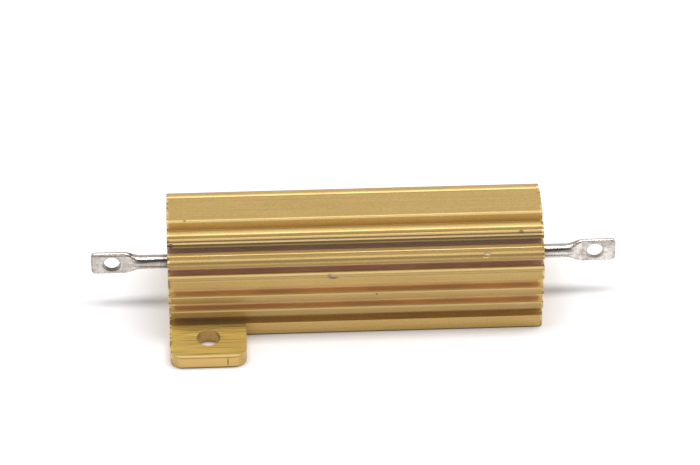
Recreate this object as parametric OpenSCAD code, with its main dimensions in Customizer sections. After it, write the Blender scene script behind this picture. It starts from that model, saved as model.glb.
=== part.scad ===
// Wirewound power resistor in a finned aluminium housing, for bolting to a chassis.
// X runs along the housing, Y across it, and Z up from the mounting face.
// The housing is one extrusion whose base flange is cut away to leave two diagonal tabs.

/* [Housing] */
// Length of the extrusion
body_l = 50; // [46:0.5:60]
// Width over the side fins
body_w = 16; // [15.6:0.1:18]
// Height from the mounting face to the flat top
body_h = 15.5; // [15.3:0.1:16.5]
// Width of the flat top
top_w = 4.96; // [4.4:0.02:5.4]
// Radius of the arc that the crown fins' tips lie on
crown_r = 8.53; // [8.4:0.01:9.4]
// Height of the element's axis above the mounting face
axis_h = 6.6; // [6.3:0.1:7.2]
// Diameter of the bore that holds the element
bore_d = 8.8; // [8.6:0.1:9.4]
// Chamfer at each mouth of the bore
bore_chamfer = 0.25; // [0.1:0.05:0.5]

/* [Base flange] */
// Thickness of the base flange and its tabs
flange_t = 2.05; // [1.6:0.05:2.6]
// Width over the two tabs
flange_w = 28.9; // [26:0.1:32]
// Length of a tab along the housing
tab_l = 10.2; // [9:0.1:14]
// Radius of a tab's outer corners
tab_corner_r = 1.6; // [0.5:0.1:2.5]
// Radius of the corners where the flange is cut flush with the side
base_corner_r = 0.5; // [0.1:0.1:1]
// Diameter of a mounting hole
hole_d = 3.18; // [2.8:0.02:4]
// Distance from the housing's end to the mounting hole's centre
hole_from_end = 5.16; // [4.4:0.02:6]
// Distance from a tab's outer edge to the mounting hole's centre
hole_from_edge = 3.73; // [3:0.01:4.2]

/* [Side fins] */
// Number of grooves in each side, the lowest opening onto the flange
side_grooves = 3; // [2:1:3]
// Height of the highest groove's ceiling
side_top = 8.2; // [7.9:0.1:8.6]
// Distance from one groove to the next
side_pitch = 2.5; // [2.4:0.05:2.6]
// Height of a groove
side_gap = 1.27; // [0.9:0.01:1.5]
// Depth of a groove
side_depth = 1.2; // [1:0.1:2.6]

/* [Crown fins] */
// Angle from the vertical to the crest of the first crown fin
fin_start = 31.5; // [30:0.5:33]
// Angle from one crest to the next
fin_step = 19.1; // [18:0.1:19.5]
// Width of the round brow behind the first crest
brow_w = 0.64; // [0.5:0.02:0.8]
// Rise of the brow above the first crest
brow_rise = 0.14; // [0:0.02:0.2]
// Drop from the first crest to the bottom of the cove beside the flat top
cove_drop = 0.5; // [0.2:0.05:0.9]
// Width of the bottom of the cove beside the flat top
cove_bottom = 0.3; // [0.2:0.05:0.6]
// Height of the slot under a crown fin, at its inner end
slot_h = 0.9; // [0.6:0.05:1]
// Depth of the slot, measured from the crest of the fin below
slot_depth = 1.8; // [1.2:0.1:2.2]
// Drop from a crest to the floor of the slot behind it
slot_drop = 0.14; // [0:0.02:0.3]

/* [Serrations] */
// Number of teeth on a crown fin's tip
teeth = 3; // [1:1:3]
// Length by which the first tooth is longer than the others
tooth_lead = 0.26; // [0:0.01:0.3]
// Distance from one tooth to the next
tooth_pitch = 0.49; // [0.4:0.01:0.49]
// Length of a tooth's upper flank
tooth_flank = 0.17; // [0.1:0.01:0.25]
// Depth of the first tooth
tooth_depth = 0.15; // [0.04:0.01:0.2]
// Share of that depth that each tooth loses against the one above it
tooth_fade = 0.3; // [0:0.05:0.4]
// Number of teeth under the shoulder's crest
shoulder_teeth = 2; // [0:1:2]
// Length by which the shoulder's first tooth is longer than its other
shoulder_lead = 0.13; // [0:0.01:0.2]
// Distance from one of the shoulder's teeth to the next
shoulder_pitch = 0.36; // [0.3:0.01:0.4]

/* [Edges] */
// Radius of the fins' lower edges
edge_r = 0.12; // [0.02:0.01:0.2]
// Radius of the side fins' upper edges
upper_edge_r = 0.25; // [0.05:0.01:0.35]
// Radius of the flat top's edges and of the crown fins' crests
crest_r = 0.28; // [0.05:0.01:0.35]
// Radius of the first crest and the brow behind it
brow_r = 1; // [0.3:0.1:1.4]
// Radius in the bottom of the cove
cove_r = 0.05; // [0.02:0.01:0.2]
// Radius inside the grooves and slots
root_r = 0.3; // [0.05:0.01:0.35]

/* [Resistance element] */
// Diameter of the ceramic core
core_d = 6.4; // [6:0.1:6.6]
// Distance from the housing's end to the core's end
core_from_end = 4; // [3.6:0.1:6]
// Wall thickness of an end cap
cap_t = 0.4; // [0.25:0.05:0.5]
// Length of an end cap over the core
cap_skirt = 3.5; // [2:0.1:5]
// Diameter of the resistance wire
wire_d = 0.4; // [0.2:0.05:0.45]
// Number of turns of resistance wire
turns = 32; // [12:1:36]

/* [Encapsulant] */
// Depth of the encapsulant's faces below the housing's ends
fill_recess = 0.4; // [0:0.1:1]

/* [Terminals] */
// Diameter of the terminal wire
terminal_d = 1.88; // [1.5:0.02:2]
// Distance from the housing's end to the tip of a terminal
terminal_reach = 10.35; // [9.6:0.05:14]
// Width of the flattened lug
lug_w = 3.3; // [2.9:0.1:4.2]
// Thickness of the flattened lug
lug_t = 0.7; // [0.5:0.05:1]
// Length of the lug at full width
lug_l = 4.3; // [3.8:0.1:5.5]
// Length of the taper from the lug to the round wire
taper_l = 2.3; // [1.5:0.1:3]
// Radius of the lug's corners
lug_corner_r = 0.45; // [0.1:0.05:0.8]
// Diameter of the lug's hole
lug_hole_d = 2.2; // [1.6:0.05:2.4]
// Distance from the lug's tip to the hole's centre
lug_hole_inset = 2.75; // [2:0.05:3]
// Backward lean of the left lug
lean_left = 3.6; // [0:0.1:12]
// Backward lean of the right lug
lean_right = 7.1; // [0:0.1:12]

/* [Fits] */
// Clearance between one piece and the next
fit = 0.03; // [0.01:0.01:0.05]

/* [Hidden] */
$fn = 64;

side_y = body_w / 2;
root_y = side_y - side_depth;
end_x = body_l / 2;
tab_y = flange_w / 2;
arc_steps = 4;
ring_arc = 5;
taper_rings = 8;
corner_rings = 4;

// Most of a side that the rounding of one corner may take
corner_share = 0.45;
// Edge radius as a share of half the thickness, on the round wire and on the flat lug
wire_round = 0.98;
lug_round = 0.88;

// The crown's arc runs from the top's edge to the shoulder, a step past the last fin's crest
crown_fins = 2;
shoulder_angle = fin_start + crown_fins * fin_step;
crown_y = side_y - crown_r * sin(shoulder_angle);
crown_z = body_h - sqrt(pow(crown_r, 2) - pow(top_w / 2 - crown_y, 2));

core_r = core_d / 2;
core_x = end_x - core_from_end;
cap_bore_r = core_r + fit;
cap_r = cap_bore_r + cap_t;
cap_x = core_x + cap_t;
skirt_x = core_x - cap_skirt;
wire_r = wire_d / 2;
wire_sides = 6;
turn_steps = 16;
winding_r = (core_r + fit + wire_r) / cos(180 / turn_steps);
winding_l = 2 * (skirt_x - wire_d);
element_r = max(cap_r, winding_r + wire_r) + fit;
terminal_r = terminal_d / 2;
tip_x = end_x + terminal_reach;
lug_x = tip_x - lug_l;
taper_x = lug_x - taper_l;

// Point on the crown arc at an angle from the vertical
function on_crown(angle) = [crown_y + crown_r * sin(angle), crown_z + crown_r * cos(angle)];

// Angle that a length covers on the crown arc
function crown_angle(length) = length / crown_r * 180 / PI;

// The outline's corners are [y, z, radius], from the flange up to the flat top.
// The lowest groove has the flange for its floor.
function groove_corners(k) =
    let (ceiling = side_top - k * side_pitch, floor_z = ceiling - side_gap)
    concat(k == side_grooves - 1
               ? [] : [[side_y, floor_z, upper_edge_r], [root_y, floor_z, root_r]],
           [[root_y, ceiling, root_r], [side_y, ceiling, edge_r]]);

// Depth of the valley above a tooth, counted from the top
function valley_depth(k) = tooth_depth * (1 - tooth_fade * (k - 1));

// A tooth's tip, then the valley above it
function tooth_corners(angle, k) =
    let (tip = angle + crown_angle(tooth_lead + k * tooth_pitch),
         valley = tip - crown_angle(tooth_flank))
    [concat(on_crown(tip), k == teeth ? edge_r : 0),
     concat(on_crown(valley) - [valley_depth(k), 0], 0)];

// A crown fin: the slot under it, its serrated tip and its crest
function fin_corners(k) =
    let (angle = fin_start + k * fin_step,
         below = on_crown(angle + fin_step),
         inner_y = below[0] - slot_depth,
         floor_z = below[1] - slot_drop)
    concat([[inner_y, floor_z, root_r], [inner_y, floor_z + slot_h, root_r]],
           [for (i = [teeth:-1:1]) each tooth_corners(angle, i)],
           [concat(on_crown(angle), k == 0 ? brow_r : crest_r)]);

// A tooth under the shoulder's crest, with its valley
function shoulder_tooth(crest, k) =
    let (tip_z = crest[1] - shoulder_lead - k * shoulder_pitch)
    [[side_y, tip_z, 0], [side_y - valley_depth(k), tip_z + tooth_flank, 0]];

// The shoulder where the side meets the crown
function shoulder_corners() =
    let (crest = on_crown(shoulder_angle))
    concat([for (i = [shoulder_teeth:-1:1]) each shoulder_tooth(crest, i)],
           [concat(crest, crest_r)]);

// The brow behind the first crest, the cove beside the flat top, and the flat top's edge
function cove_corners() =
    let (crest = on_crown(fin_start))
    [concat(crest + [-brow_w, brow_rise], brow_r),
     [top_w / 2 + cove_bottom, crest[1] - cove_drop, cove_r],
     [top_w / 2, body_h, crest_r]];

half_outline = concat(
    [[root_y, 0, 0]],
    [for (k = [side_grooves - 1:-1:0]) each groove_corners(k)],
    shoulder_corners(),
    [for (k = [crown_fins - 1:-1:0]) each fin_corners(k)],
    cove_corners());

function unit(v) = v / norm(v);

// Points of the arc that rounds corner b between its neighbours a and c
function corner_arc(a, b, c, radius) =
    let (to_a = unit(a - b), to_c = unit(c - b),
         half = acos(to_a * to_c) / 2,
         reach = min(radius / tan(half), corner_share * norm(a - b), corner_share * norm(c - b)),
         r = reach * tan(half),
         centre = b + unit(to_a + to_c) * r / sin(half),
         from = b + to_a * reach - centre,
         turn = (180 - 2 * half) * sign(cross(b - a, c - b)))
    [for (i = [0:arc_steps])
        let (angle = turn * i / arc_steps)
        centre + [from[0] * cos(angle) - from[1] * sin(angle),
                  from[0] * sin(angle) + from[1] * cos(angle)]];

// An outline with each corner rounded to its own radius
function rounded(corners) =
    let (n = len(corners), flat = [for (c = corners) [c[0], c[1]]])
    [for (i = [0:n - 1])
        each corners[i][2] == 0
            ? [flat[i]]
            : corner_arc(flat[(i + n - 1) % n], flat[i], flat[(i + 1) % n], corners[i][2])];

// The extrusion's section, the same on both sides of its middle plane
module housing_section() {
    other_half = [for (i = [len(half_outline) - 1:-1:0])
        let (c = half_outline[i]) [-c[0], c[1], c[2]]];
    polygon(rounded(concat(half_outline, other_half)));
}

// Places its children at the front left tab and, half a turn round, at the rear right one
module at_tabs() {
    for (turn = [0, 180])
        rotate([0, 0, turn]) children();
}

// The flange's plan: flush with the sides, apart from the tabs
module flange_plan() {
    corner = [end_x, side_y];
    polygon(rounded([for (s = [[-1, -1], [1, -1], [1, 1], [-1, 1]])
        [s[0] * corner[0], s[1] * corner[1], s[0] == s[1] ? 0 : base_corner_r]]));
    at_tabs()
        polygon(rounded([[-end_x, -tab_y, tab_corner_r], [-end_x + tab_l, -tab_y, tab_corner_r],
                         [-end_x + tab_l, 0, 0], [-end_x, 0, 0]]));
}

module housing() {
    color("#c9a765")
    difference() {
        union() {
            translate([-end_x, 0, 0])
                rotate([90, 0, 90])
                    linear_extrude(body_l) housing_section();
            linear_extrude(flange_t) flange_plan();
        }
        at_tabs()
            translate([-end_x + hole_from_end, -tab_y + hole_from_edge, -flange_t])
                cylinder(h = 3 * flange_t, d = hole_d);
        translate([-body_l, 0, axis_h])
            rotate([0, 90, 0]) cylinder(h = 2 * body_l, d = bore_d);
        for (turn = [0, 180])
            rotate([0, 0, turn])
                translate([end_x - bore_chamfer, 0, axis_h])
                    rotate([0, 90, 0])
                        cylinder(h = 2 * bore_chamfer, d1 = bore_d, d2 = bore_d + 4 * bore_chamfer);
    }
}

// Moulded silicone that seals the element in the bore and centres it
module encapsulant() {
    face_x = end_x - fill_recess;
    outer_r = bore_d / 2 - fit;
    lead_r = terminal_r + fit;
    color("#6f7370")
    translate([0, 0, axis_h])
        rotate([0, 90, 0])
            rotate_extrude()
                polygon([[outer_r, -face_x], [outer_r, face_x], [lead_r, face_x],
                         [lead_r, cap_x + fit], [element_r, cap_x + fit],
                         [element_r, -cap_x - fit], [lead_r, -cap_x - fit],
                         [lead_r, -face_x]]);
}

module ceramic_core() {
    color("#efe9dc")
    translate([-core_x, 0, axis_h])
        rotate([0, 90, 0]) cylinder(h = 2 * core_x, d = core_d);
}

// Centre line of the wire at a step along its helix, and the two directions across it
function winding_x(i) = winding_l * (i / (turns * turn_steps) - 0.5);
function winding_out(i) = let (a = 360 * i / turn_steps) [0, cos(a), sin(a)];
function winding_across(i) =
    let (a = 360 * i / turn_steps,
         lead = winding_l / turns,
         round = 2 * PI * winding_r)
    unit([round, lead * sin(a), -lead * cos(a)]);

// Bare resistance wire, wound on the core between the end caps
module resistance_winding() {
    rings = turns * turn_steps + 1;
    points = [for (i = [0:rings - 1], j = [0:wire_sides - 1])
        let (a = 360 * j / wire_sides)
        [winding_x(i), 0, axis_h] + winding_out(i) * (winding_r + wire_r * cos(a))
            + winding_across(i) * wire_r * sin(a)];
    sides = [for (i = [0:rings - 2], j = [0:wire_sides - 1])
        let (p = i * wire_sides, q = (j + 1) % wire_sides)
        each [[p + j, p + q, p + wire_sides + q], [p + j, p + wire_sides + q, p + wire_sides + j]]];
    ends = [[for (j = [wire_sides - 1:-1:0]) j],
            [for (j = [0:wire_sides - 1]) (rings - 1) * wire_sides + j]];
    color("#8c8a86")
    polyhedron(points = points, faces = concat(sides, ends));
}

// Steel cup pressed on the core's right end
module end_cap() {
    translate([skirt_x, 0, axis_h])
        rotate([0, 90, 0])
            difference() {
                cylinder(h = cap_x - skirt_x, r = cap_r);
                translate([0, 0, -cap_t])
                    cylinder(h = core_x - skirt_x + cap_t, r = cap_bore_r);
            }
}

module end_cap_left() {
    color("#b9bcbf") mirror([1, 0, 0]) end_cap();
}

module end_cap_right() {
    color("#b9bcbf") end_cap();
}

// How far the wire is flattened at a distance along the right terminal, from 0 to 1
function flattened(x) =
    let (t = max(0, min(1, (x - taper_x) / taper_l)))
    t * t * (3 - 2 * t);

// How far the lug's edge is drawn in near its tip by the rounded corner
function corner_draw(x) =
    let (t = max(0, x - (tip_x - lug_corner_r)))
    lug_corner_r - sqrt(max(0, pow(lug_corner_r, 2) - t * t));

// Outline of the terminal across X: a flat with rounded edges, or nearly a circle
function terminal_ring(x) =
    let (s = flattened(x),
         across = terminal_r + (lug_w / 2 - terminal_r) * s - corner_draw(x),
         through = terminal_r + (lug_t / 2 - terminal_r) * s,
         r = through * (wire_round + (lug_round - wire_round) * s))
    [for (q = [0:3], i = [0:ring_arc])
        let (a = 90 * q + 90 * i / ring_arc)
        [x, (q == 0 || q == 3 ? 1 : -1) * (through - r) + r * cos(a),
            (q < 2 ? 1 : -1) * (across - r) + r * sin(a)]];

// Round wire welded to the cap, its outer end flattened and pierced
module terminal() {
    stations = concat([for (i = [0:taper_rings]) taper_x + taper_l * i / taper_rings],
                      [for (i = [0:corner_rings])
                          tip_x - lug_corner_r * cos(90 * i / corner_rings)]);
    rings = [for (x = stations) terminal_ring(x)];
    n = len(rings[0]);
    last = len(rings) - 1;
    faces = concat(
        [for (i = [0:last - 1], j = [0:n - 1])
            let (p = i * n, q = (j + 1) % n)
            each [[p + j, p + n + q, p + q], [p + j, p + n + j, p + n + q]]],
        [[for (j = [0:n - 1]) j], [for (j = [n - 1:-1:0]) last * n + j]]);
    difference() {
        union() {
            translate([cap_x, 0, 0])
                rotate([0, 90, 0]) cylinder(h = taper_x - cap_x, r = terminal_r);
            polyhedron(points = [for (ring = rings) each ring], faces = faces);
        }
        translate([tip_x - lug_hole_inset, 0, 0])
            rotate([90, 0, 0]) cylinder(h = 4 * lug_t, d = lug_hole_d, center = true);
    }
}

module terminal_left() {
    color("#cdc4bb")
    translate([0, 0, axis_h]) rotate([-lean_left, 0, 0]) mirror([1, 0, 0]) terminal();
}

module terminal_right() {
    color("#cdc4bb")
    translate([0, 0, axis_h]) rotate([-lean_right, 0, 0]) terminal();
}

housing();
encapsulant();
ceramic_core();
resistance_winding();
end_cap_left();
end_cap_right();
terminal_left();
terminal_right();
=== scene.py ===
"""Finishes, floor, light and camera for the housed power resistor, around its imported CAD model.

Lengths named here are in millimetres, in the CAD frame: X along the housing, Y across, Z up.
"""

import math

import bpy
from mathutils import Matrix, Vector

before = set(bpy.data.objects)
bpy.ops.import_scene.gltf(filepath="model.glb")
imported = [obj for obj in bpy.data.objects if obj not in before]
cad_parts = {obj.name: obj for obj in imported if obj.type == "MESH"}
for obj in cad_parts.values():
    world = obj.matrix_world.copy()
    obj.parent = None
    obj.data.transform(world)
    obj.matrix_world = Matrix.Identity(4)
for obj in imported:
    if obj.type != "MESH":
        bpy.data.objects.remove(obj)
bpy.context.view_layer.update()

MM = 0.001

# Camera: where it looks from, in degrees round and above the part, and what it looks at
CAMERA_AZIMUTH = -2.683
CAMERA_ELEVATION = 39.285
CAMERA_ROLL = 0.128
CAMERA_DISTANCE = 474.466
CAMERA_TARGET = (-0.523, 0.0, 10.717)
CAMERA_LENS = 181.91

# Light: one long soft box overhead, in a pale room with softly bounded patches in front.
# A patch is its elevation, the angles from its middle where it starts and ends to fade, and
# its level.
LAMP_PLACE = (60.0, 65.0, 800.0)
LAMP_SIZE = (700.0, 200.0)
LAMP_POWER = 4.45
ROOM_LEVEL = 0.83
PATCHES = (
    (8.0, 12.0, 42.0, 1.6),
    (60.0, 18.0, 38.0, 0.17),
)

# Floor: its size, its colour as a source of light, and as it is seen
FLOOR_SIZE = 3000.0
FLOOR_COLOUR = (0.93, 0.87, 0.83)
FLOOR_SHOWN = (1.0, 0.985, 1.0)

# Gold anodising, as linear colours: its base tones and lighter broad lines, and the painted
# highlight on its edges. The amounts say how strongly specks and fine lines show in it.
GOLD = (0.59, 0.395, 0.138)
GOLD_DEEP = (0.56, 0.37, 0.116)
GOLD_WORN = (0.62, 0.49, 0.268)
GOLD_DARK = (0.35, 0.22, 0.063)
GOLD_PALE = (0.70, 0.54, 0.232)
GOLD_HIGHLIGHT = (0.86, 0.65, 0.28)
SPECK_AMOUNT = 0.3
LINE_AMOUNT = 0.3
# The tabs: their upper face, the same lightened beside the body as painted light, its brushed
# lines, and their outer faces, lightened as painted light
GOLD_TAB = (0.64, 0.45, 0.125)
GOLD_TAB_REAR_LIT = (0.87, 0.60, 0.155)
TAB_LINES = (0.42, 0.285, 0.075)
TAB_FACE_LIT = (0.67, 0.45, 0.155)
# The side grooves, lightened as painted light, and the slots between the crown's fins, in tones
# painted for their light and shade; each in two tones
GROOVE_LIGHT_TONES = ((0.75, 0.50, 0.225), (0.66, 0.425, 0.21))
UPPER_SLOT_LIGHT_AND_SHADE = ((0.95, 0.68, 0.55), (0.88, 0.60, 0.49))
LOWER_SLOT_LIGHT_AND_SHADE = ((0.76, 0.51, 0.39), (0.66, 0.43, 0.34))
# Painted shade: in the teeth, at the foot, in the coves and in the lowest groove. A dark tone for
# the dents, which also paints shade at the ground and on the sawn rims. Bare aluminium in the
# scuffs
PAINTED_SHADE = (0.18, 0.12, 0.049)
FOOT_SHADE = (0.25, 0.17, 0.065)
FOOT_SHADE_AMOUNT = 0.45
COVE_SHADE = (0.36, 0.24, 0.10)
LAST_GROOVE_SHADE = (0.25, 0.16, 0.145)
DIRT_AND_SHADE = (0.08, 0.05, 0.028)
BARE_METAL = (0.74, 0.62, 0.50)
# The gold's surface: how metallic, how rough at least and at most, and what flats add to that
GOLD_METALLIC = 0.5
GOLD_ROUGHNESS = (0.27, 0.4)
SATIN_FLATS = 0.16

# The terminals' tin: bright, dull and dark; the dull tone also paints shade on top, and the dark
# one also paints shade and reflections in lines
TIN = (0.86, 0.82, 0.76)
TIN_DULL_AND_SHADE = (0.51, 0.45, 0.40)
TIN_DARK_AND_SHADE = (0.12, 0.11, 0.10)

# The pieces inside, each in two tones
SILICONE_TONES = ((0.105, 0.11, 0.108), (0.20, 0.205, 0.20))
STEATITE_TONES = ((0.78, 0.74, 0.66), (0.86, 0.83, 0.77))
STEATITE_FLECKS = (0.42, 0.39, 0.35)
WIRE_TONES = ((0.40, 0.38, 0.36), (0.22, 0.19, 0.17))
STEEL_TONES = ((0.56, 0.57, 0.58), (0.42, 0.40, 0.37))

# The housing, as in the part's source: its end, side and top, the flat top's edge, the
# flange's upper face, the tabs' outer edge and inner end, and the bore's edge from its axis
END = 25.0
SIDE = 8.0
TOP = 15.5
FLAT_EDGE = 2.48
FLANGE_TOP = 2.05
TAB_OUTER = 14.45
TAB_INNER = 14.8
BORE_EDGE = 4.65

# Its crown: the axis above the mounting face, the radius, the fins' first crest and the step
# to the next in degrees from the vertical, and the shoulder below the second fin
CROWN_AXIS = 7.34
CROWN_R = 8.53
FIN_START = 31.5
FIN_STEP = 19.1
SECOND_CREST = FIN_START + FIN_STEP
SHOULDER = SECOND_CREST + FIN_STEP
SHOULDER_TOP = 10.32
SHOULDER_FOOT = 8.9

# Its side fins: the lowest one's lower edge, the step to the next, the top of the second one,
# and the top of the highest groove
FIN_FOOT = 3.2
FIN_PITCH = 2.5
SECOND_FIN_TOP = 7.1
GROOVES_TOP = 8.3

# The terminals: their axis, where they leave the end, start to flatten and end, and their hole
WIRE_AXIS = 6.6
WIRE_START = 25.2
FLATTENING = 29.0
LUG_TIP = 35.35
LUG_HOLE = 32.6
LUG_HOLE_R = 1.1
# Their painted dark lines' lower and upper edges, over the axis: one of painted shade on the lug,
# and two of painted reflection on the wire
LUG_SHADE_LINE = (1.28, 1.38)
WIRE_REFLECTION_LINES = ((0.42, 0.74), (-0.14, -0.04))

# How much painted shade a side fin's face gets, and how strong the painted highlight on its edge
# is, up from its lower edge
FACE_SHADE = ((0.0, 0.35), (0.12, 0.15), (0.3, 0.0))
EDGE_HIGHLIGHT = ((0.36, 0.0), (0.44, 0.6), (0.5, 0.6), (0.53, 0.0))
# How much painted shade each crown fin gets, from its crest (0) over its three teeth to the next
# crest (1)
FIN_SHADE = (
    ((0.0, 0.15), (0.08, 0.0), (0.17, 0.15), (0.215, 0.8), (0.264, 0.5), (0.35, 0.9),
     (0.42, 0.85), (0.48, 0.95), (0.545, 0.9), (0.60, 0.4), (0.64, 0.0)),
    ((0.0, 0.25), (0.08, 0.35), (0.19, 0.35), (0.264, 0.3), (0.335, 0.75), (0.38, 0.4),
     (0.43, 0.0), (0.49, 0.5), (0.53, 0.5), (0.58, 0.0)),
)
# How much painted shade and painted highlight the shoulder gets, at so many millimetres below its
# top
SHOULDER_SHADE = ((0.0, 0.0), (0.52, 0.0), (0.66, 0.5), (0.82, 0.0))
SHOULDER_HIGHLIGHT = ((0.0, 0.9), (0.2, 0.9), (0.3, 0.6), (0.44, 1.0), (0.54, 1.0), (0.62, 0.1),
                 (0.84, 0.4), (0.95, 0.0))

# Marks on the housing: the centre, the reach along each axis, and the turn in degrees
SCUFFS = (
    ((17.4, -7.05, 12.1), (0.62, 0.3, 0.26), (0, 0, 0)),
    ((-3.1, -8.0, 9.86), (0.62, 0.3, 0.3), (0, 12, 0)),
    ((22.1, -8.0, 4.1), (1.1, 0.3, 0.12), (0, 0, 0)),
)
DENTS = (
    ((-3.2, -8.0, 9.8), (0.95, 0.35, 0.5), (0, 12, 0)),
    ((22.0, -5.05, 14.2), (0.42, 0.3, 0.26), (0, 0, 0)),
    ((17.2, -7.2, 11.9), (0.4, 0.25, 0.2), (0, 0, 0)),
    ((2.7, -8.0, 6.6), (0.13, 0.3, 0.3), (0, 0, 0)),
    ((-17.35, -14.45, 1.0), (0.11, 0.3, 1.1), (0, 2, 0)),
    ((-24.5, -5.6, 13.6), (0.5, 0.5, 0.5), (0, 0, 0)),
    ((-22.6, -2.45, 15.45), (0.25, 0.2, 0.15), (0, 0, 0)),
)


class Nodes:
    """The node tree of a material or world, and short ways to add nodes to it."""

    def __init__(self, owner):
        owner.use_nodes = True
        self.tree = owner.node_tree
        self.tree.nodes.clear()

    def add(self, kind, inputs=None, **settings):
        """Adds a node. Each of its inputs is a value or another node's output."""
        node = self.tree.nodes.new(kind)
        for key, value in settings.items():
            setattr(node, key, value)
        for key, value in (inputs or {}).items():
            if isinstance(value, bpy.types.NodeSocket):
                self.tree.links.new(value, node.inputs[key])
            else:
                node.inputs[key].default_value = value
        return node

    def math(self, operation, a, b=0.0):
        """One operation on a value, or on two."""
        return self.add("ShaderNodeMath", {0: a, 1: b}, operation=operation).outputs[0]

    def times(self, *factors):
        """Product of values."""
        product = factors[0]
        for factor in factors[1:]:
            product = self.math("MULTIPLY", product, factor)
        return product

    def distance(self, a, b):
        """Length of the hypotenuse over two sides."""
        return self.math("SQRT", self.math("ADD", self.math("POWER", a, 2.0),
                                           self.math("POWER", b, 2.0)))

    def ramp(self, value, low, high, bottom=0.0, top=1.0):
        """Maps low..high smoothly onto bottom..top."""
        node = self.add("ShaderNodeMapRange", {
            "Value": value, "From Min": low, "From Max": high,
            "To Min": bottom, "To Max": top}, interpolation_type="SMOOTHSTEP")
        return node.outputs["Result"]

    def band(self, value, low, high, soft):
        """1 between low and high, fading to 0 over a soft distance outside them."""
        return self.times(self.ramp(value, low - soft, low),
                          self.ramp(value, high, high + soft, 1.0, 0.0))

    def blend(self, factor, a, b):
        """Mixes two values."""
        return self.add("ShaderNodeMix", {0: factor, 2: a, 3: b}).outputs[0]

    def mix(self, factor, a, b):
        """Mixes two colours."""
        node = self.add("ShaderNodeMix", {0: factor, 6: opaque(a), 7: opaque(b)},
                        data_type="RGBA")
        return node.outputs[2]


class Finish(Nodes):
    """A material, and the tone that it is painted in, coat by coat."""

    def __init__(self, name):
        self.material = bpy.data.materials.new(name)
        super().__init__(self.material)
        self.place = self.add("ShaderNodeTexCoord").outputs["Object"]
        self.tone = None

    def axes(self):
        """X, Y and Z of the place on the surface, in millimetres."""
        scaled = self.add("ShaderNodeVectorMath", {0: self.place, 3: 1 / MM}, operation="SCALE")
        return self.add("ShaderNodeSeparateXYZ", {0: scaled.outputs[0]}).outputs

    def facing(self):
        """X, Y and Z of the direction in which the surface faces."""
        normal = self.add("ShaderNodeNewGeometry").outputs["True Normal"]
        return self.add("ShaderNodeSeparateXYZ", {0: normal}).outputs

    def noise(self, per_mm, detail=2.0, roughness=0.5, distortion=0.0):
        """Noise with so many features per millimetre along X, Y and Z."""
        scaled = self.add("ShaderNodeMapping", {
            "Vector": self.place,
            "Scale": tuple(count / MM for count in per_mm)})
        node = self.add("ShaderNodeTexNoise", {
            "Vector": scaled.outputs[0], "Scale": 1.0, "Detail": detail,
            "Roughness": roughness, "Distortion": distortion})
        return node.outputs["Fac"]

    def profile(self, value, stops):
        """A level that follows a value from 0 to 1, through stops of (value, level)."""
        node = self.add("ShaderNodeValToRGB", {0: value})
        elements = node.color_ramp.elements
        while len(elements) < len(stops):
            elements.new(0.5)
        for element, (place, level) in zip(elements, stops):
            element.position = place
            element.color = (level, level, level, 1.0)
        return node.outputs["Color"]

    def share(self, value, start, step):
        """How far a value has come from one step to the next, from 0 to 1."""
        past = self.math("SUBTRACT", value, start)
        return self.math("DIVIDE", self.math("FLOORED_MODULO", past, step), step)

    def spot(self, centre, reach, turn):
        """1 at a place on the surface, fading to 0 at reach millimetres away along each axis."""
        local = self.add("ShaderNodeMapping", {
            "Vector": self.place, "Location": tuple(c * MM for c in centre),
            "Rotation": tuple(math.radians(angle) for angle in turn),
            "Scale": tuple(r * MM for r in reach)}, vector_type="TEXTURE")
        away = self.add("ShaderNodeVectorMath", {0: local.outputs[0]}, operation="LENGTH")
        return self.ramp(away.outputs["Value"], 0.35, 1.0, 1.0, 0.0)

    def spots(self, marks):
        """The strongest of several spots."""
        strongest = 0.0
        for mark in marks:
            strongest = self.math("MAXIMUM", strongest, self.spot(*mark))
        return strongest

    def paint(self, colour, *shares):
        """Lays a colour over the tone, as thickly as the product of its shares."""
        self.tone = self.mix(self.times(*shares), self.tone, colour)

    def bump(self, height, depth, normal=None):
        """Raises the surface by up to depth millimetres."""
        inputs = {"Height": height, "Distance": depth * MM, "Strength": 1.0}
        if normal is not None:
            inputs["Normal"] = normal
        return self.add("ShaderNodeBump", inputs).outputs[0]

    def surface(self, **inputs):
        """Ends the tree with the shader in the tone, and returns the material."""
        named = {key.replace("_", " "): value for key, value in inputs.items()}
        shader = self.add("ShaderNodeBsdfPrincipled", {"Base Color": self.tone, **named})
        self.add("ShaderNodeOutputMaterial", {"Surface": shader.outputs[0]})
        return self.material


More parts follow.
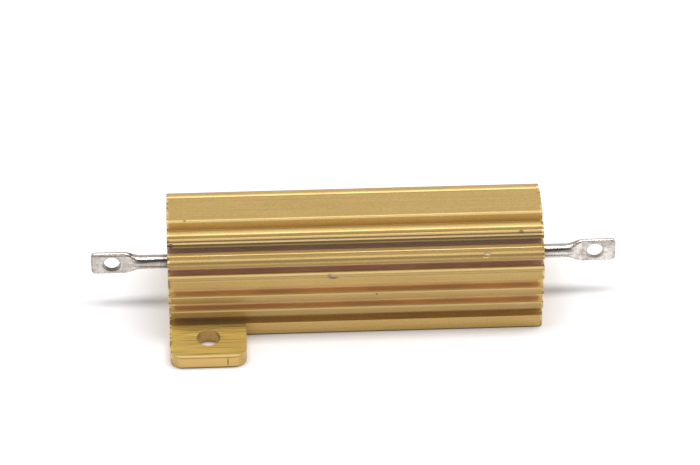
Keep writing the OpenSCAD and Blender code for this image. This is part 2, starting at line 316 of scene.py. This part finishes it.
class Gold(Finish):
    """Gold anodised aluminium: drawn lines along X, sawn ends, scuffs, marks, and painted light
    and shade.
    """

    def __init__(self):
        super().__init__("gold_anodised")
        self.x, self.y, self.z = self.axes()
        self.across = self.math("ABSOLUTE", self.y)
        self.along = self.math("ABSOLUTE", self.x)

        # Which faces are flat upward, sawn across the extrusion, or drawn along it
        facing = self.facing()
        self.upward = facing["Z"]
        self.sawn = self.ramp(self.math("ABSOLUTE", facing["X"]), 0.9, 0.97)
        self.drawn = self.math("SUBTRACT", 1.0, self.sawn)

        # Lines, specks and clouds
        drawn_lines = self.noise((0.02, 5.0, 5.0), detail=5.0, roughness=0.65)
        self.saw_lines = self.noise((0.0, 0.12, 4.0), detail=4.0, roughness=0.65,
                                    distortion=0.1)
        self.lines = self.blend(self.sawn, drawn_lines, self.saw_lines)
        self.broad_lines = self.noise((0.012, 1.4, 1.4), detail=3.0, roughness=0.6)
        self.grain = self.noise((3.5, 5.0, 5.0), detail=4.0, roughness=0.75)
        self.clouds = self.noise((0.12, 0.3, 0.3), detail=3.0)
        self.patchy = self.ramp(self.clouds, 0.35, 0.65)

        # Places on the section: by the crown's axis, the side faces, the grooves and the tabs
        above_axis = self.math("SUBTRACT", self.z, CROWN_AXIS)
        self.from_axis = self.distance(self.y, above_axis)
        self.turn = self.math("MULTIPLY", self.math("ARCTAN2", self.across, above_axis),
                              math.degrees(1.0))
        self.on_side = self.times(self.band(self.across, SIDE - 0.03, SIDE + 0.03, 0.1),
                                  self.drawn)
        self.in_groove = self.times(
            self.band(self.across, BORE_EDGE + 0.35, SIDE - 0.15, 0.1),
            self.band(self.z, FLANGE_TOP + 0.05, GROOVES_TOP, 0.05), self.drawn)
        self.tab_edge = self.ramp(self.across, TAB_OUTER - 0.15, TAB_OUTER - 0.05)

    def two_tones(self, tones):
        """Two tones in large soft patches."""
        return self.mix(self.patchy, *tones)

    def lay_base(self):
        """The anodising itself: soft clouds, broad lines, specks and fine lines."""
        self.tone = self.mix(self.ramp(self.clouds, 0.3, 0.7), GOLD, GOLD_DEEP)
        self.paint(GOLD_WORN, self.ramp(self.broad_lines, 0.45, 0.75), 0.2)
        self.paint(GOLD_DARK, self.ramp(self.grain, 0.35, 0.5, 1.0, 0.0), SPECK_AMOUNT)
        self.paint(GOLD_PALE, self.ramp(self.grain, 0.5, 0.65), SPECK_AMOUNT)
        fine_lines = self.noise((0.05, 9.0, 9.0), detail=2.0, roughness=0.6)
        self.paint(GOLD_DARK, self.ramp(fine_lines, 0.3, 0.5, 1.0, 0.0), LINE_AMOUNT)

    def lay_light_and_shade_in_recesses(self):
        """Painted light and shade: coves beside the flat top, slots between the fins, side
        grooves.
        """
        inward = self.times(
            self.ramp(self.from_axis, CROWN_R - 0.95, CROWN_R - 0.45, 1.0, 0.0),
            self.ramp(self.z, SHOULDER_TOP - 0.42, SHOULDER_TOP - 0.22), self.drawn)
        past_cove = self.ramp(self.turn, FIN_START, FIN_START + 2.0)
        before_slots = self.math("SUBTRACT", 1.0, past_cove)
        past_top = self.ramp(self.across, FLAT_EDGE, FLAT_EDGE + 0.5)
        # Painted shade in the coves beside the flat top
        self.paint(COVE_SHADE, inward, before_slots, past_top, 0.5)
        second_slot = self.ramp(self.turn, SECOND_CREST + 1.4, SECOND_CREST + 5.4)
        # Tones painted for the light and shade in the slots between the crown's fins
        self.paint(self.mix(second_slot, self.two_tones(UPPER_SLOT_LIGHT_AND_SHADE),
                            self.two_tones(LOWER_SLOT_LIGHT_AND_SHADE)), inward, past_cove, 0.9)
        # Painted light in the side grooves
        self.paint(self.two_tones(GROOVE_LIGHT_TONES), self.in_groove)

    def lay_shade_and_highlights_on_crown(self):
        """Painted shade in the fins' teeth, and painted shade and highlights on the shoulder's.
        """
        on_teeth = self.times(self.ramp(self.turn, FIN_START, FIN_START + 0.5),
                              self.band(self.turn, FIN_START, SHOULDER - 3.0, 0.5), self.drawn)
        share = self.share(self.turn, FIN_START, FIN_STEP)
        on_second = self.ramp(self.turn, SECOND_CREST - 1.5, SECOND_CREST - 0.5)
        # Painted shade in the teeth's valleys and under-faces
        self.paint(PAINTED_SHADE, on_teeth,
                   self.mix(on_second, *(self.profile(share, stops) for stops in FIN_SHADE)))
        on_shoulder = self.times(self.band(self.z, SHOULDER_FOOT, SHOULDER_TOP, 0.02),
                                 self.ramp(self.across, SIDE - 0.5, SIDE - 0.2), self.drawn)
        below_top = self.math("SUBTRACT", SHOULDER_TOP, self.z)
        # Painted shade and a painted highlight on the shoulder's teeth
        self.paint(PAINTED_SHADE, on_shoulder, self.profile(below_top, SHOULDER_SHADE))
        self.paint(GOLD_HIGHLIGHT, on_shoulder, self.profile(below_top, SHOULDER_HIGHLIGHT))

    def lay_shade_near_foot(self):
        """Painted shade: the side faces darker downward, the lowest groove darkest beside the
        tabs.
        """
        # Painted shade on the side faces, darker downward
        self.paint(FOOT_SHADE, self.on_side, FOOT_SHADE_AMOUNT, self.ramp(self.z, 2.0, 3.0),
                   self.ramp(self.z, 3.0, 10.0, 1.0, 0.2))
        toward_tab = self.times(self.x, self.math("SIGN", self.y))
        beside_tab = self.ramp(toward_tab, TAB_INNER - 0.6, TAB_INNER + 0.2)
        # Painted shade in the lowest groove, darkest beside the tabs
        self.paint(LAST_GROOVE_SHADE,
                   self.band(self.z, FLANGE_TOP + 0.05, FIN_FOOT - 0.1, 0.3), self.in_groove,
                   self.ramp(beside_tab, 0.0, 1.0, 0.3, 1.0))

    def lay_saw_lines(self):
        self.paint(GOLD_DARK, self.sawn, self.ramp(self.saw_lines, 0.35, 0.55, 0.45, 0.0))
        self.paint(GOLD_PALE, self.sawn, self.ramp(self.saw_lines, 0.52, 0.7, 0.0, 0.5))

    def lay_top(self):
        """The flat top, slightly darker as painted shade, and its edges: painted highlight in
        front, shade behind.
        """
        # Painted shade over the flat top
        self.paint(PAINTED_SHADE, self.ramp(self.z, TOP - 0.2, TOP - 0.05, 0.0, 0.12))
        near_top = self.times(self.ramp(self.z, TOP - 0.3, TOP - 0.2), self.drawn)
        front_edge = self.ramp(self.y, 0.04 - FLAT_EDGE, 0.12 - FLAT_EDGE, 1.0, 0.0)
        # Painted highlight along the front edge
        self.paint(GOLD_HIGHLIGHT, near_top, front_edge, 0.9)
        rear_edge = self.ramp(self.y, FLAT_EDGE - 0.28, FLAT_EDGE - 0.13)
        # Painted shade along the rear edge
        self.paint(PAINTED_SHADE, near_top, rear_edge, 0.5)

    def lay_side_fins(self):
        """The side fins: painted shade toward their lower edges, a painted highlight along their
        upper ones.
        """
        height = self.share(self.z, FIN_FOOT, FIN_PITCH)
        lower_two = self.band(self.z, FIN_FOOT, SECOND_FIN_TOP, 0.1)
        # Painted shade on the lower two fins' faces
        self.paint(PAINTED_SHADE, self.on_side, lower_two, self.profile(height, FACE_SHADE))
        outermost = self.ramp(self.across, SIDE - 0.35, SIDE - 0.25)
        # Painted highlight along their upper edges
        self.paint(GOLD_HIGHLIGHT, outermost, self.drawn, lower_two,
                   self.profile(height, EDGE_HIGHLIGHT))

    def lay_tabs_and_foot(self):
        """The tabs, brushed above, with painted light, highlight and shade; and painted contact
        shade at the ground.
        """
        brushed = self.noise((0.12, 4.5, 4.5), detail=3.0, roughness=0.7)
        outward = self.ramp(self.across, SIDE + 0.8, SIDE + 3.5)
        # The tabs' upper face lightened beside the body, as painted light
        plain = self.mix(outward, GOLD_TAB_REAR_LIT, GOLD_TAB)
        self.paint(self.mix(self.ramp(brushed, 0.36, 0.56), TAB_LINES, plain),
                   self.ramp(self.across, SIDE + 0.1, SIDE + 0.2),
                   self.ramp(self.z, FLANGE_TOP - 0.05, FLANGE_TOP - 0.01))
        # Painted light on the tabs' outer faces
        self.paint(TAB_FACE_LIT, self.tab_edge)
        # Painted highlight along their top edge, and painted shade just below it
        self.paint(GOLD_HIGHLIGHT, self.ramp(self.across, TAB_OUTER - 0.25, TAB_OUTER - 0.15),
                   self.ramp(self.z, FLANGE_TOP - 0.15, FLANGE_TOP - 0.05), 0.9)
        self.paint(PAINTED_SHADE, self.tab_edge,
                   self.band(self.z, FLANGE_TOP - 0.37, FLANGE_TOP - 0.25, 0.08), 0.5)
        # Painted shade at the side faces' foot, and a painted contact shadow at the ground
        self.paint(PAINTED_SHADE, self.on_side, self.ramp(self.z, 0.1, 1.3, 0.1, 0.0))
        self.paint(DIRT_AND_SHADE, self.math("MAXIMUM", self.tab_edge, self.on_side),
                   self.ramp(self.z, 0.08, 0.26, 0.85, 0.0))

    def lay_ends(self):
        """The grooves' ends in painted light, and the sawn rims, torn by turns into painted
        highlight and shade.
        """
        tear = self.noise((1.2, 1.8, 1.8), detail=2.0)
        ragged = self.math("ADD", self.along, self.ramp(tear, 0.3, 0.7, -0.3, 0.3))
        # Painted light in the grooves near the ends
        self.paint(GOLD_HIGHLIGHT, self.in_groove, self.ramp(ragged, END - 0.8, END - 0.5), 0.9)
        from_bore = self.distance(self.y, self.math("SUBTRACT", self.z, WIRE_AXIS))
        rim = self.times(self.ramp(self.along, END - 0.38, END - 0.15),
                         self.ramp(from_bore, BORE_EDGE + 0.35, BORE_EDGE + 0.55),
                         self.drawn)
        # Painted highlights and painted shade along the sawn rims
        self.paint(GOLD_HIGHLIGHT, rim, self.ramp(tear, 0.5, 0.6), 0.8)
        self.paint(DIRT_AND_SHADE, rim, self.ramp(tear, 0.4, 0.5, 1.0, 0.0), 0.6)

    def finish(self):
        """Paints every coat, presses the marks in, and returns the material."""
        self.lay_base()
        self.lay_light_and_shade_in_recesses()
        self.lay_shade_and_highlights_on_crown()
        self.lay_shade_near_foot()
        self.lay_saw_lines()
        self.lay_top()
        self.lay_side_fins()
        self.lay_tabs_and_foot()
        self.lay_ends()
        dents, scuffs = self.spots(DENTS), self.spots(SCUFFS)
        self.paint(DIRT_AND_SHADE, dents, 0.7)
        self.paint(BARE_METAL, scuffs, 0.65)

        normal = self.bump(self.broad_lines, 0.006)
        normal = self.bump(self.lines, 0.004, normal)
        normal = self.bump(self.grain, 0.003, normal)
        normal = self.bump(self.times(self.math("ADD", dents, scuffs), -1.0), 0.05, normal)
        gloss = self.math("ADD", self.ramp(self.lines, 0.25, 0.75, *GOLD_ROUGHNESS),
                          self.ramp(self.upward, 0.9, 0.98, 0.0, SATIN_FLATS))
        return self.surface(Metallic=GOLD_METALLIC, Roughness=gloss, Normal=normal,
                            Specular_IOR_Level=0.25, Coat_Weight=0.08, Coat_Roughness=0.2)


def tinned_wire():
    """Hot-tinned copper, a bright, uneven skin: painted shade along the pressed lugs' edges and
    holes, painted reflections on the wire.
    """
    f = Finish("tinned_wire")
    x, _, z = f.axes()
    along = f.math("ABSOLUTE", x)
    pools = f.noise((0.9, 1.6, 1.6), detail=3.0, roughness=0.55)
    pits = f.noise((3.5, 4.5, 4.5), detail=3.0, roughness=0.7)
    press_marks = f.noise((4.0, 0.4, 0.4), detail=2.0)
    streaks = f.noise((0.5, 4.0, 4.0), detail=2.0)

    # The left terminal is duller than the right one, and both are painted duller on top as
    # painted shade
    f.tone = f.mix(f.ramp(pools, 0.4, 0.7), TIN, TIN_DULL_AND_SHADE)
    f.paint(TIN_DULL_AND_SHADE, f.ramp(x, -5.0, 5.0, 0.5, 0.0))
    f.paint(TIN_DARK_AND_SHADE, f.ramp(pits, 0.38, 0.55, 0.35, 0.0))
    f.paint(TIN_DARK_AND_SHADE, f.ramp(press_marks, 0.35, 0.5, 0.2, 0.0))
    # Painted shade on the upward faces
    f.paint(TIN_DULL_AND_SHADE, f.ramp(f.facing()["Z"], 0.3, 0.7, 0.0, 0.55))

    # Painted shade in dark lines round the lug's flat and round its hole, and where the wire
    # enters;
    # painted reflections in dark lines along the wire
    on_lug = f.ramp(along, FLATTENING, FLATTENING + 1.0)
    on_wire = f.math("SUBTRACT", 1.0, on_lug)
    rise = f.math("SUBTRACT", z, WIRE_AXIS)
    above_and_below = f.math("MAXIMUM", f.times(f.band(rise, *LUG_SHADE_LINE, 0.07), 0.8),
                             f.ramp(rise, -1.6, -1.4, 0.5, 0.0))
    shaded_outline = f.math("MAXIMUM", f.ramp(along, LUG_TIP - 0.3, LUG_TIP - 0.05, 0.0, 0.6),
                     f.times(on_lug, above_and_below))
    from_hole = f.distance(rise, f.math("SUBTRACT", along, LUG_HOLE))
    rim = f.times(f.ramp(from_hole, LUG_HOLE_R + 0.04, LUG_HOLE_R + 0.22, 1.0, 0.0),
                  f.ramp(rise, -0.4, 0.8, 0.8, 0.35))
    reflected_bands = f.math("MAXIMUM", *(f.band(rise, *line, 0.07) for line in WIRE_REFLECTION_LINES))
    fainter_right = f.ramp(x, -5.0, 5.0, 1.0, 0.5)
    # Painted shade on the lug's outline and round its hole
    f.paint(TIN_DARK_AND_SHADE, shaded_outline, fainter_right)
    f.paint(TIN_DARK_AND_SHADE, rim, fainter_right)
    # Painted reflections along the wire
    f.paint(TIN_DARK_AND_SHADE, on_wire, f.ramp(streaks, 0.3, 0.6, 0.45, 0.9), reflected_bands)
    # Painted shade where the wire enters the end
    f.paint(TIN_DARK_AND_SHADE, f.ramp(along, WIRE_START, WIRE_START + 1.0, 0.55, 0.0))

    normal = f.bump(pools, 0.05)
    normal = f.bump(press_marks, 0.006, normal)
    normal = f.bump(pits, 0.008, normal)
    return f.surface(Metallic=1.0, Roughness=f.ramp(pits, 0.3, 0.75, 0.22, 0.42),
                     Normal=normal)


def silicone():
    """Dark grey moulded silicone with a rippled meniscus and specks of filler."""
    f = Finish("silicone")
    ripple = f.noise((0.7, 0.7, 0.7), detail=2.0)
    filler = f.noise((11.0, 11.0, 11.0), detail=3.0, roughness=0.7)
    f.tone = f.mix(f.ramp(filler, 0.35, 0.7), *SILICONE_TONES)
    return f.surface(Roughness=f.ramp(ripple, 0.3, 0.7, 0.42, 0.6),
                     Normal=f.bump(filler, 0.006, f.bump(ripple, 0.12)))


def ceramic():
    """Off-white steatite with a fine ground grain and grey flecks."""
    f = Finish("ceramic")
    grain = f.noise((4.0, 9.0, 9.0), detail=4.0, roughness=0.6)
    flecks = f.noise((3.0, 3.0, 3.0), detail=1.0)
    f.tone = f.mix(f.ramp(grain, 0.3, 0.7), *STEATITE_TONES)
    f.paint(STEATITE_FLECKS, f.ramp(flecks, 0.68, 0.76), 0.5)
    return f.surface(Roughness=f.ramp(grain, 0.3, 0.7, 0.38, 0.55),
                     Normal=f.bump(grain, 0.006))


def resistance_wire():
    """Drawn nickel-chrome wire, slightly oxidised."""
    f = Finish("resistance_wire")
    oxide = f.noise((0.6, 1.2, 1.2), detail=4.0, roughness=0.6)
    f.tone = f.mix(f.ramp(oxide, 0.35, 0.7), *WIRE_TONES)
    return f.surface(Metallic=1.0, Roughness=f.ramp(oxide, 0.3, 0.7, 0.25, 0.45),
                     Normal=f.bump(f.noise((8.0, 8.0, 8.0)), 0.003))


def cap_steel():
    """Drawn steel of the end caps, with lines along the cup and light tarnish."""
    f = Finish("cap_steel")
    draw_lines = f.noise((0.3, 9.0, 9.0), detail=3.0)
    tarnish = f.noise((0.5, 0.5, 0.5), detail=3.0)
    f.tone = f.mix(f.ramp(tarnish, 0.4, 0.7), *STEEL_TONES)
    return f.surface(Metallic=1.0, Roughness=f.ramp(draw_lines, 0.3, 0.7, 0.24, 0.38),
                     Normal=f.bump(draw_lines, 0.004))


def opaque(colour):
    """A colour as a socket takes it: another node's output, or red, green, blue and alpha."""
    return colour if isinstance(colour, bpy.types.NodeSocket) else (*colour, 1.0)


def dress_nodes():
    """Gives each CAD node the finish that its record slot names."""
    finishes = {
        "gold_anodised": Gold().finish(),
        "tinned_wire": tinned_wire(),
        "silicone": silicone(),
        "ceramic": ceramic(),
        "resistance_wire": resistance_wire(),
        "cap_steel": cap_steel(),
    }
    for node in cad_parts.values():
        for slot in node.material_slots:
            slot.material = finishes[slot.material.name]


def build_floor():
    """A pale floor at the mounting face, which looks white and sends back slightly warm light."""
    half = FLOOR_SIZE / 2 * MM
    mesh = bpy.data.meshes.new("floor")
    mesh.from_pydata([(-half, -half, 0), (half, -half, 0), (half, half, 0), (-half, half, 0)],
                     [], [(0, 1, 2, 3)])
    floor = bpy.data.objects.new("floor", mesh)
    bpy.context.scene.collection.objects.link(floor)
    f = Finish("floor")
    ray = f.add("ShaderNodeLightPath").outputs
    seen = f.math("MAXIMUM", ray["Is Camera Ray"],
                  f.math("MAXIMUM", ray["Is Glossy Ray"], ray["Is Transmission Ray"]))
    f.tone = f.mix(seen, FLOOR_COLOUR, FLOOR_SHOWN)
    mesh.materials.append(f.surface(Roughness=0.9, Specular_IOR_Level=0.0))


def build_lamp():
    """The soft box overhead, which the camera doesn't see."""
    lamp = bpy.data.lights.new("soft_box", "AREA")
    lamp.shape = "RECTANGLE"
    lamp.size, lamp.size_y = (side * MM for side in LAMP_SIZE)
    lamp.energy = LAMP_POWER
    box = bpy.data.objects.new("soft_box", lamp)
    box.location = Vector(LAMP_PLACE) * MM
    box.visible_camera = False
    bpy.context.scene.collection.objects.link(box)


def build_room():
    """The room: an even level all round, and the patches over it."""
    world = bpy.data.worlds.new("room")
    bpy.context.scene.world = world
    room = Nodes(world)
    toward = room.add("ShaderNodeTexCoord").outputs["Generated"]
    level = ROOM_LEVEL
    for elevation, inner, outer, patch_level in PATCHES:
        e = math.radians(elevation)
        nearness = room.add("ShaderNodeVectorMath", {
            0: toward, 1: (0.0, -math.cos(e), math.sin(e))}, operation="DOT_PRODUCT")
        inside = room.ramp(nearness.outputs["Value"], math.cos(math.radians(outer)),
                           math.cos(math.radians(inner)))
        level = room.blend(inside, level, patch_level)
    background = room.add("ShaderNodeBackground", {"Strength": level})
    room.add("ShaderNodeOutputWorld", {"Surface": background.outputs[0]})


def build_camera():
    a = math.radians(CAMERA_AZIMUTH)
    e = math.radians(CAMERA_ELEVATION)
    roll = math.radians(CAMERA_ROLL)
    back = Vector((math.sin(a) * math.cos(e), -math.cos(a) * math.cos(e), math.sin(e)))
    level = Vector((0, 0, 1)).cross(back).normalized()
    above = back.cross(level)
    right = level * math.cos(roll) + above * math.sin(roll)
    up = back.cross(right)
    camera = bpy.data.cameras.new("camera")
    camera.sensor_width = 36.0
    camera.lens = CAMERA_LENS
    camera.clip_start = 0.01
    camera.clip_end = 10.0
    stand = bpy.data.objects.new("camera", camera)
    place = (Vector(CAMERA_TARGET) + back * CAMERA_DISTANCE) * MM
    turned = Matrix((right, up, back)).transposed().to_4x4()
    stand.matrix_world = Matrix.Translation(place) @ turned
    bpy.context.scene.collection.objects.link(stand)
    bpy.context.scene.camera = stand


dress_nodes()
build_floor()
build_lamp()
build_room()
build_camera()
bpy.context.scene.view_settings.view_transform = "Standard"
